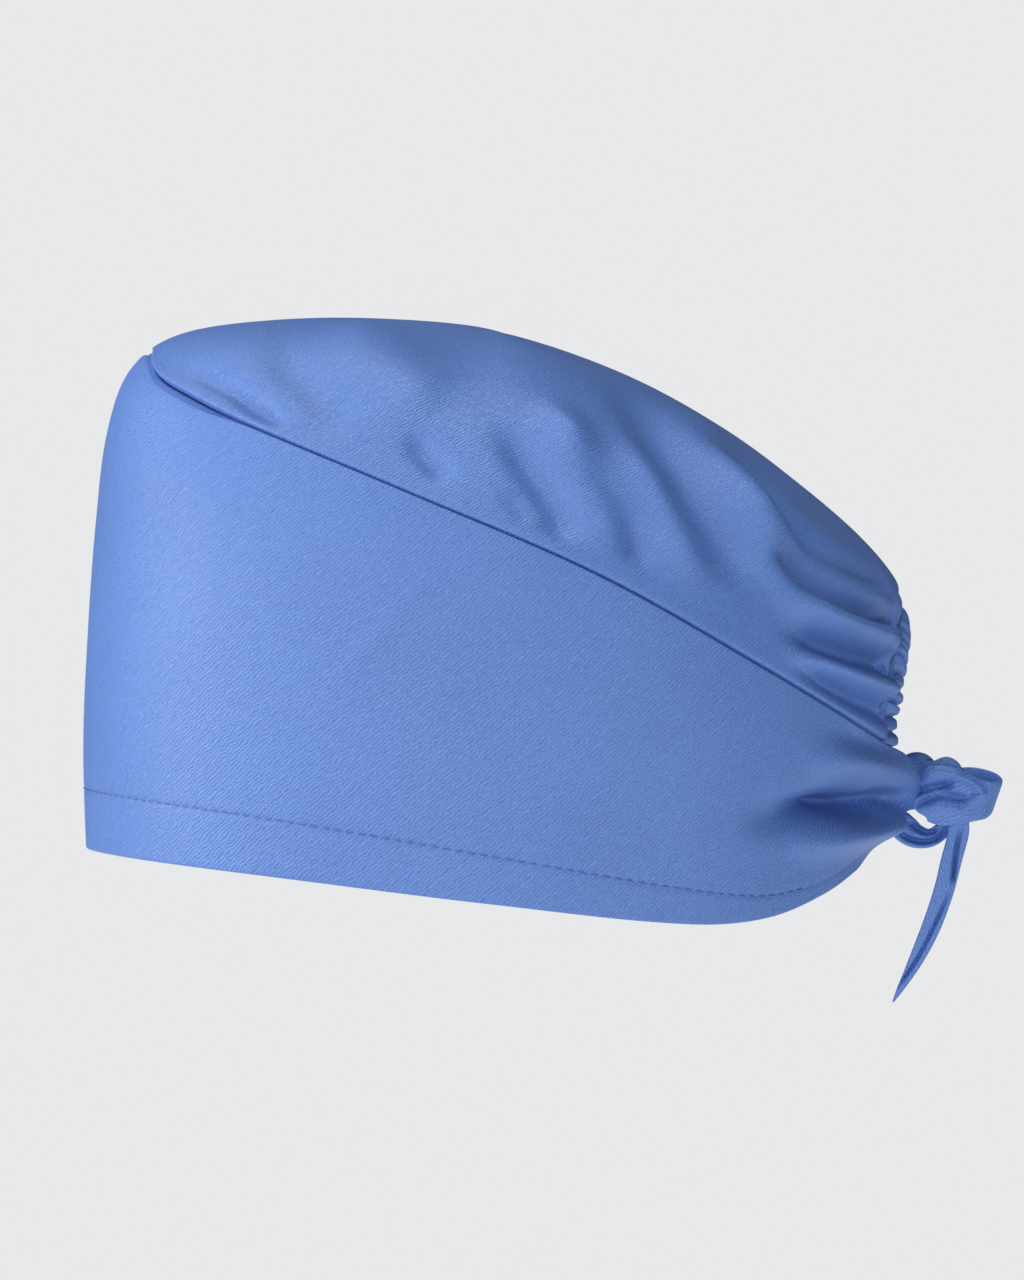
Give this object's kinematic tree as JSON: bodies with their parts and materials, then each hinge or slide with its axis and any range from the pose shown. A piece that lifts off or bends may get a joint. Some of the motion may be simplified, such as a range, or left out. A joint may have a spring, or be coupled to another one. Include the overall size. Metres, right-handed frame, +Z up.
{
  "type": "scrub cap",
  "caption": "Tie-back scrub cap in its worn form: deep hemmed side band, domed crown gathered into an elastic arch over the nape, and cloth ties knotted below it.",
  "frame": {"origin": "middle of the head opening, level with the hem edge at the forehead", "axes": "+Z up through the crown, -Y out of the forehead, +Y out of the knot at the nape, +X to the wearer's left"},
  "size_m": [0.168, 0.238, 0.1778],
  "materials": {
    "twill": "soft blue cotton twill with a faint sheen"
  },
  "bodies": {
    "root": {"side_band": "twill", "crown": "twill", "elastic_casing": "twill", "tie_left": "twill", "tie_right": "twill"}
  },
  "joints": []
}
